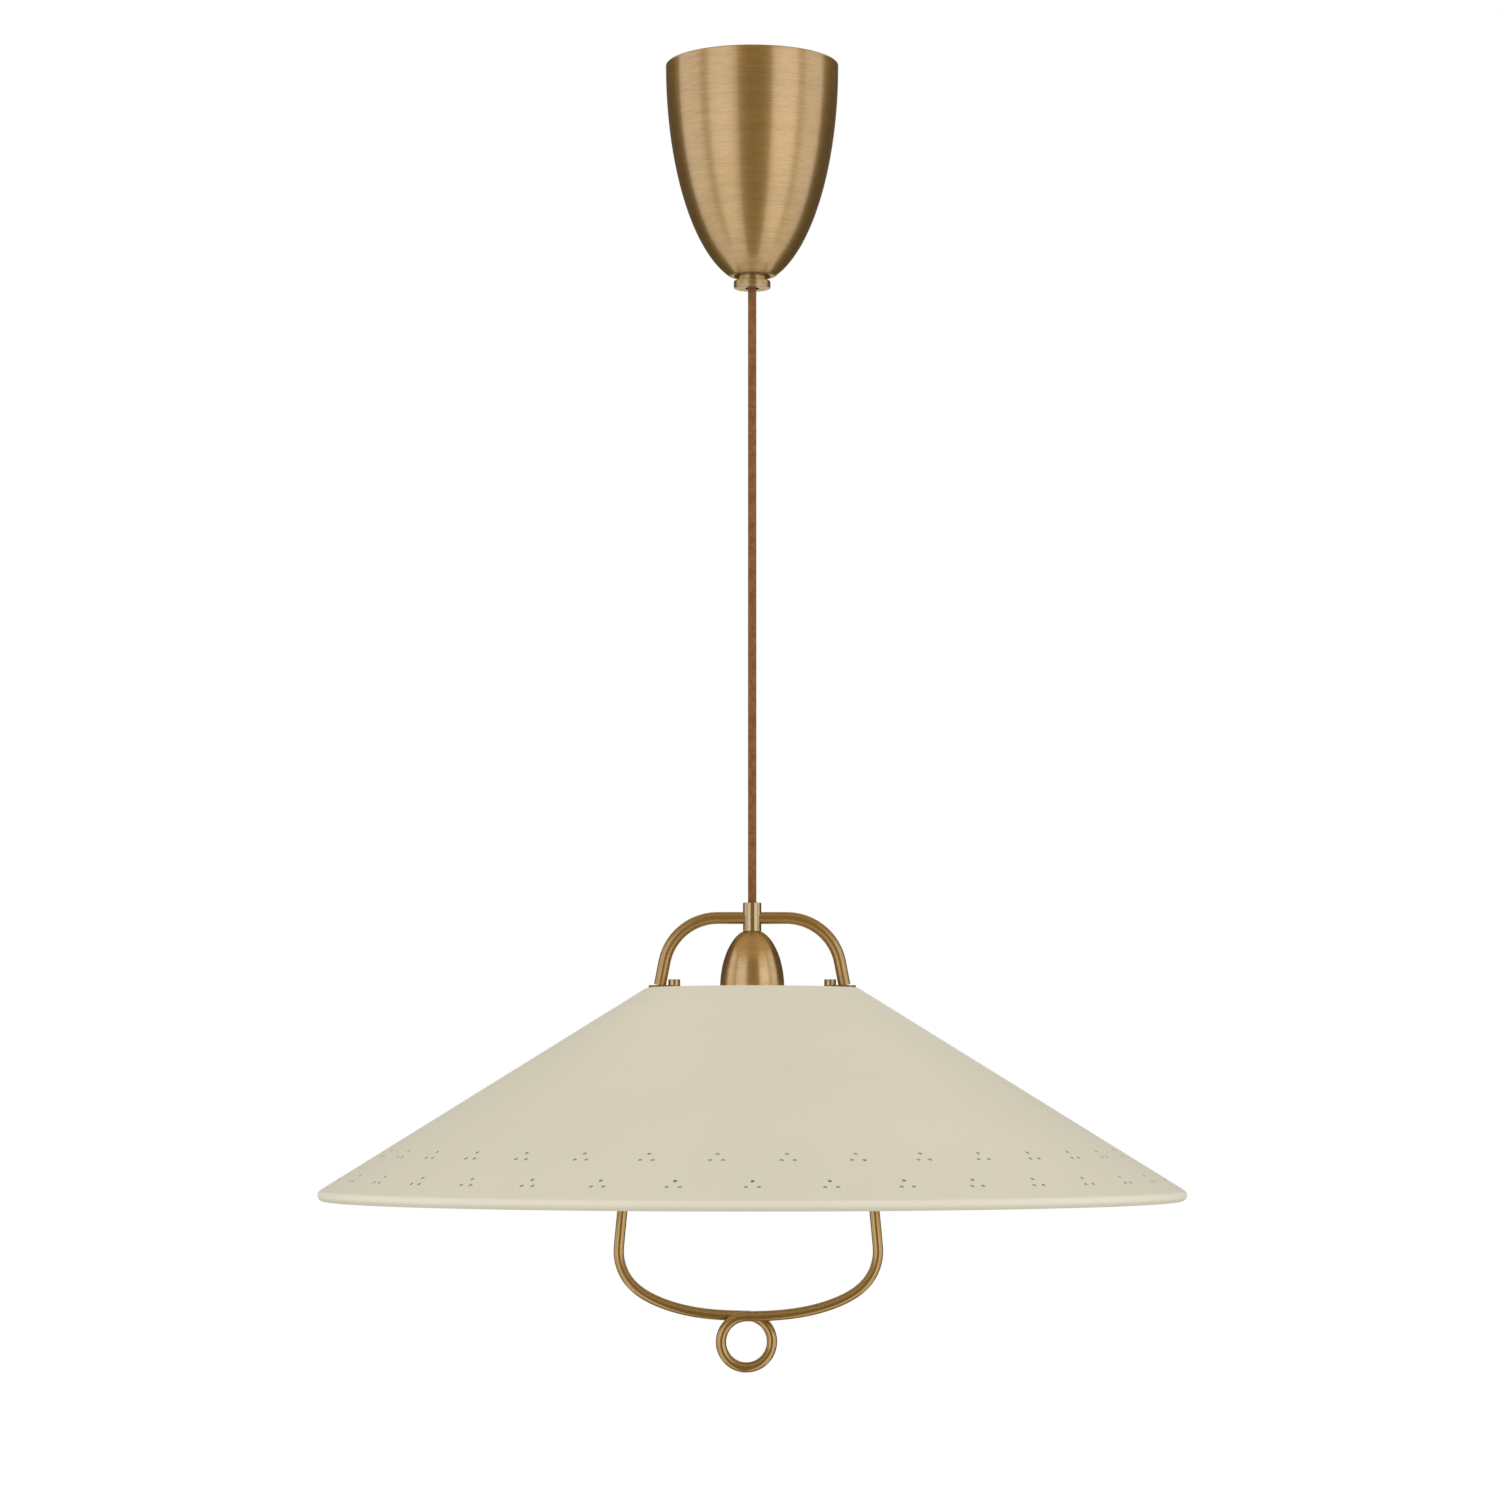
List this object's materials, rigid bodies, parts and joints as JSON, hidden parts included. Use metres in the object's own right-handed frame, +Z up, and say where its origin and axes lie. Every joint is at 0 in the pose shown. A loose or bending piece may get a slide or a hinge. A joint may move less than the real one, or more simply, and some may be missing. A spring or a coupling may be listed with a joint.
{
  "type": "rise and fall pendant light",
  "caption": "Pendant light with a conical metal shade on a brass arch, hung by a braided cord from a spring reel in a deep ceiling cup, with a bent rod handle to pull it down.",
  "frame": {"origin": "centre of the ceiling plane, at the top rim of the ceiling cup", "axes": "+Z up along the cord, +X to the right with the handle and the arch in the XZ plane, the reel's axle along Y"},
  "size_m": [0.6099, 0.61, 0.9339],
  "materials": {
    "antique_brass": "circumferentially brushed antique brass",
    "brass_rod": "satin brass rod",
    "cream_paint": "satin cream paint",
    "zinc_steel": "zinc-plated steel",
    "spring_steel": "blued spring steel",
    "reel_plastic": "moulded plastic",
    "terminal_plastic": "moulded plastic",
    "slip_board": "phenolic board",
    "copper": "copper",
    "nylon": "nylon",
    "cord_braid": "braided textile over plastic insulation",
    "bakelite": "black bakelite",
    "porcelain": "glazed porcelain"
  },
  "bodies": {
    "root": {"canopy": "antique_brass", "ceiling_strap": "zinc_steel", "frame_screws": "zinc_steel", "earth_screw": "brass_rod", "reel_frame": "zinc_steel", "reel_axle": "zinc_steel", "axle_clips": "spring_steel", "brush_block": "slip_board", "brushes": "copper", "terminal_block": "terminal_plastic", "pulley_pin": "zinc_steel", "pulley_spacers": "nylon", "outlet_tube": "brass_rod", "outlet_nut": "brass_rod", "outlet_bush": "nylon", "outlet_collar": "antique_brass", "cord_lead": "cord_braid"},
    "drum": {"cord_drum": "reel_plastic", "drum_cover": "reel_plastic", "power_spring": "spring_steel", "wound_cord": "cord_braid", "slip_disc": "slip_board", "slip_rings": "copper"},
    "pulley": {"guide_pulley": "nylon"},
    "lamp": {"pendant_cord": "cord_braid", "cord_sleeve": "antique_brass", "cord_grip": "nylon", "arch_rod_left": "brass_rod", "arch_rod_right": "brass_rod", "arch_feet": "brass_rod", "foot_screws": "brass_rod", "foot_nuts": "brass_rod", "dome": "antique_brass", "nipple": "brass_rod", "lampholder_cap": "antique_brass", "lampholder_body": "bakelite", "lampholder_insert": "porcelain", "screw_shell": "antique_brass", "centre_contact": "copper", "shade": "cream_paint", "pull_handle": "brass_rod", "handle_plates": "brass_rod"}
  },
  "joints": [
    {"name": "rise_and_fall", "type": "slide", "parent": "root", "child": "lamp", "axis": [0, 0, 1], "range_m": [-0.72, 0.28], "deforming": ["pendant_cord"]},
    {"name": "drum_turn", "type": "hinge", "parent": "root", "child": "drum", "pos_m": [0, 0, -0.062], "axis": [0, 1, 0], "range_deg": [-1317, 516]},
    {"name": "pulley_spin", "type": "hinge", "parent": "root", "child": "pulley", "pos_m": [-0.011, 0, -0.124], "axis": [0, 1, 0], "range_deg": [-1464, 3756]}
  ],
  "couplings": [
    {"joint": "drum_turn", "follows": "rise_and_fall", "rad_per_m": 31.797},
    {"joint": "pulley_spin", "follows": "rise_and_fall", "rad_per_m": -90.909}
  ]
}
